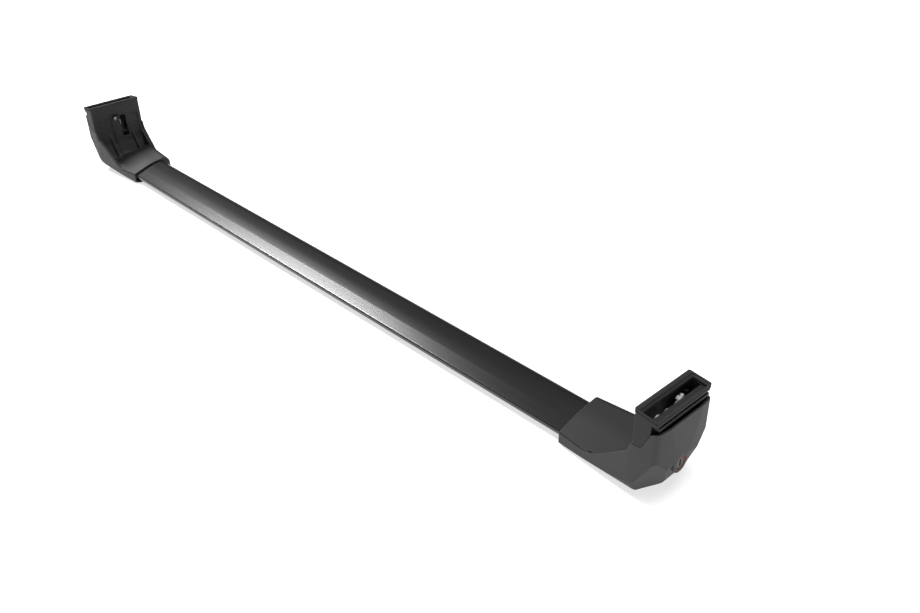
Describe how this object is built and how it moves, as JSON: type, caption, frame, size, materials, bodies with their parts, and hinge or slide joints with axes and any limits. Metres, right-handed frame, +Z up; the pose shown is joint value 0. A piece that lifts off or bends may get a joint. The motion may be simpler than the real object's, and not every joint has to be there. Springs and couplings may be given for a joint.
{
  "type": "roof rack crossbar",
  "caption": "Wing-section crossbar with a locking foot on each end, a sliding cover, a clamp screw and a rubber boot, lying upside down.",
  "frame": {"origin": "on the floor under the middle of the bar, which lies upside down with its feet up", "axes": "+X along the bar to the right foot, +Y to the rounded nose of the wing, +Z up, towards the car side"},
  "size_m": [1.3768, 0.1002, 0.1255],
  "materials": {
    "bar_alloy": "satin black",
    "housing_plastic": "grained charcoal",
    "leg_plastic": "grained black",
    "rubber": "matt",
    "ring_plastic": "orange",
    "lock_metal": "satin grey",
    "zinc_steel": "zinc plated"
  },
  "bodies": {
    "bar": {"bar_extrusion": "bar_alloy", "slot_strip": "rubber", "leg_right": "leg_plastic", "boot_right": "rubber", "fixing_screws_right": "zinc_steel", "screw_washer_right": "zinc_steel", "leg_left": "leg_plastic", "boot_left": "rubber", "fixing_screws_left": "zinc_steel", "screw_washer_left": "zinc_steel"},
    "cover_right": {"cover_right": "housing_plastic", "lock_ring_right": "ring_plastic"},
    "lock_right": {"lock_barrel_right": "lock_metal", "lock_cam_right": "zinc_steel", "cam_screw_right": "zinc_steel"},
    "screw_right": {"tension_screw_right": "zinc_steel", "screw_retainer_right": "zinc_steel"},
    "carriage_right": {"carriage_right": "zinc_steel", "tie_pin_right": "zinc_steel"},
    "tie_right": {"tie_bolt_right": "zinc_steel", "tie_nut_right": "zinc_steel"},
    "cover_left": {"cover_left": "housing_plastic", "lock_ring_left": "ring_plastic"},
    "lock_left": {"lock_barrel_left": "lock_metal", "lock_cam_left": "zinc_steel", "cam_screw_left": "zinc_steel"},
    "screw_left": {"tension_screw_left": "zinc_steel", "screw_retainer_left": "zinc_steel"},
    "carriage_left": {"carriage_left": "zinc_steel", "tie_pin_left": "zinc_steel"},
    "tie_left": {"tie_bolt_left": "zinc_steel", "tie_nut_left": "zinc_steel"}
  },
  "joints": [
    {"name": "cover_right_slide", "type": "slide", "parent": "bar", "child": "cover_right", "axis": [1, 0, 0], "range_m": [0, 0.06]},
    {"name": "lock_right_turn", "type": "hinge", "parent": "cover_right", "child": "lock_right", "pos_m": [0.677, -0.004, 0.044], "axis": [1, 0, 0], "range_deg": [0, 90]},
    {"name": "screw_right_turn", "type": "hinge", "parent": "bar", "child": "screw_right", "pos_m": [0.664, -0.01, 0.07], "axis": [0, 0, 1], "range_deg": [0, 2880]},
    {"name": "carriage_right_travel", "type": "slide", "parent": "bar", "child": "carriage_right", "axis": [0, 0, -1], "range_m": [0, 0.008]},
    {"name": "tie_right_swing", "type": "hinge", "parent": "carriage_right", "child": "tie_right", "pos_m": [0.664, 0.001, 0.095], "axis": [1, 0, 0], "range_deg": [0, 60]},
    {"name": "cover_left_slide", "type": "slide", "parent": "bar", "child": "cover_left", "axis": [-1, 0, 0], "range_m": [0, 0.06]},
    {"name": "lock_left_turn", "type": "hinge", "parent": "cover_left", "child": "lock_left", "pos_m": [-0.677, -0.004, 0.044], "axis": [1, 0, 0], "range_deg": [0, 90]},
    {"name": "screw_left_turn", "type": "hinge", "parent": "bar", "child": "screw_left", "pos_m": [-0.664, -0.01, 0.07], "axis": [0, 0, 1], "range_deg": [0, 2880]},
    {"name": "carriage_left_travel", "type": "slide", "parent": "bar", "child": "carriage_left", "axis": [0, 0, -1], "range_m": [0, 0.008]},
    {"name": "tie_left_swing", "type": "hinge", "parent": "carriage_left", "child": "tie_left", "pos_m": [-0.664, 0.001, 0.095], "axis": [1, 0, 0], "range_deg": [0, 60]}
  ],
  "couplings": [
    {"joint": "screw_right_turn", "follows": "carriage_right_travel", "rad_per_m": 6283.2},
    {"joint": "screw_left_turn", "follows": "carriage_left_travel", "rad_per_m": 6283.2}
  ]
}
